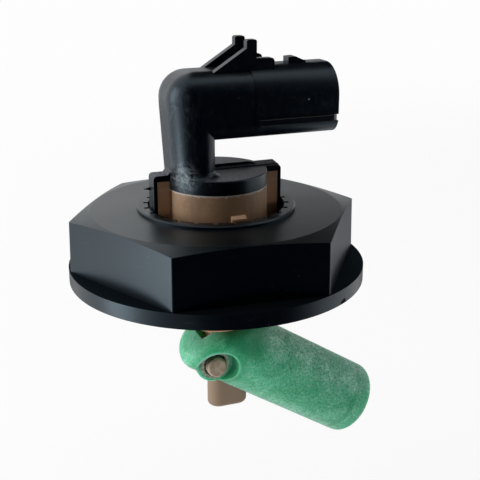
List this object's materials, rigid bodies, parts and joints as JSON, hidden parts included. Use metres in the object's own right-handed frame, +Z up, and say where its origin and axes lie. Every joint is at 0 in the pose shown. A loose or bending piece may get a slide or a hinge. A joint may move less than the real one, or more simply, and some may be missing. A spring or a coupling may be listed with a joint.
{
  "type": "coolant level sensor",
  "caption": "Coolant level sensor with a swinging green float, a large black union nut and an angled electrical connector.",
  "frame": {"origin": "on the union nut's axis, at the underside of its flange", "axes": "+Z up along the nut's axis from the float to the connector, +X along the connector towards its open end"},
  "size_m": [0.0822, 0.075, 0.1114],
  "materials": {
    "black_plastic": "moulded, slightly glossy",
    "nut_plastic": "satin",
    "beige_plastic": "moulded",
    "green_float": "frosted, slightly translucent",
    "green_cap": "frosted, slightly translucent",
    "pin_metal": "dull",
    "washer_metal": "dull",
    "contact_tin": "tinned",
    "seal_rubber": "matte",
    "magnet": "sintered",
    "board": "laminate",
    "reed_glass": "clear green",
    "reed_metal": "bright",
    "resistor_body": "lacquered",
    "wire_copper": "tinned copper",
    "potting_resin": "cast"
  },
  "bodies": {
    "sensor": {"sensor_body": "beige_plastic", "connector_housing": "black_plastic", "terminal_front": "contact_tin", "terminal_back": "contact_tin", "pivot_pin": "pin_metal", "pin_washers": "washer_metal", "neck_gasket": "seal_rubber", "hub_o_ring": "seal_rubber", "switch_board": "board", "reed_capsule": "reed_glass", "reed_blade_lower": "reed_metal", "reed_blade_upper": "reed_metal", "resistor": "resistor_body", "lead_wire_front": "wire_copper", "lead_wire_back": "wire_copper", "potting": "potting_resin"},
    "nut": {"union_nut": "nut_plastic"},
    "float": {"float_shell": "green_float", "float_cap": "green_cap", "float_magnet": "magnet"}
  },
  "joints": [
    {"name": "nut_turn", "type": "hinge", "parent": "sensor", "child": "nut", "pos_m": [0, 0, 0], "axis": [0, 0, 1], "continuous": true},
    {"name": "float_swing", "type": "hinge", "parent": "sensor", "child": "float", "pos_m": [-0.0025, 0, -0.024], "axis": [0, 1, 0], "range_deg": [0, 18]}
  ]
}
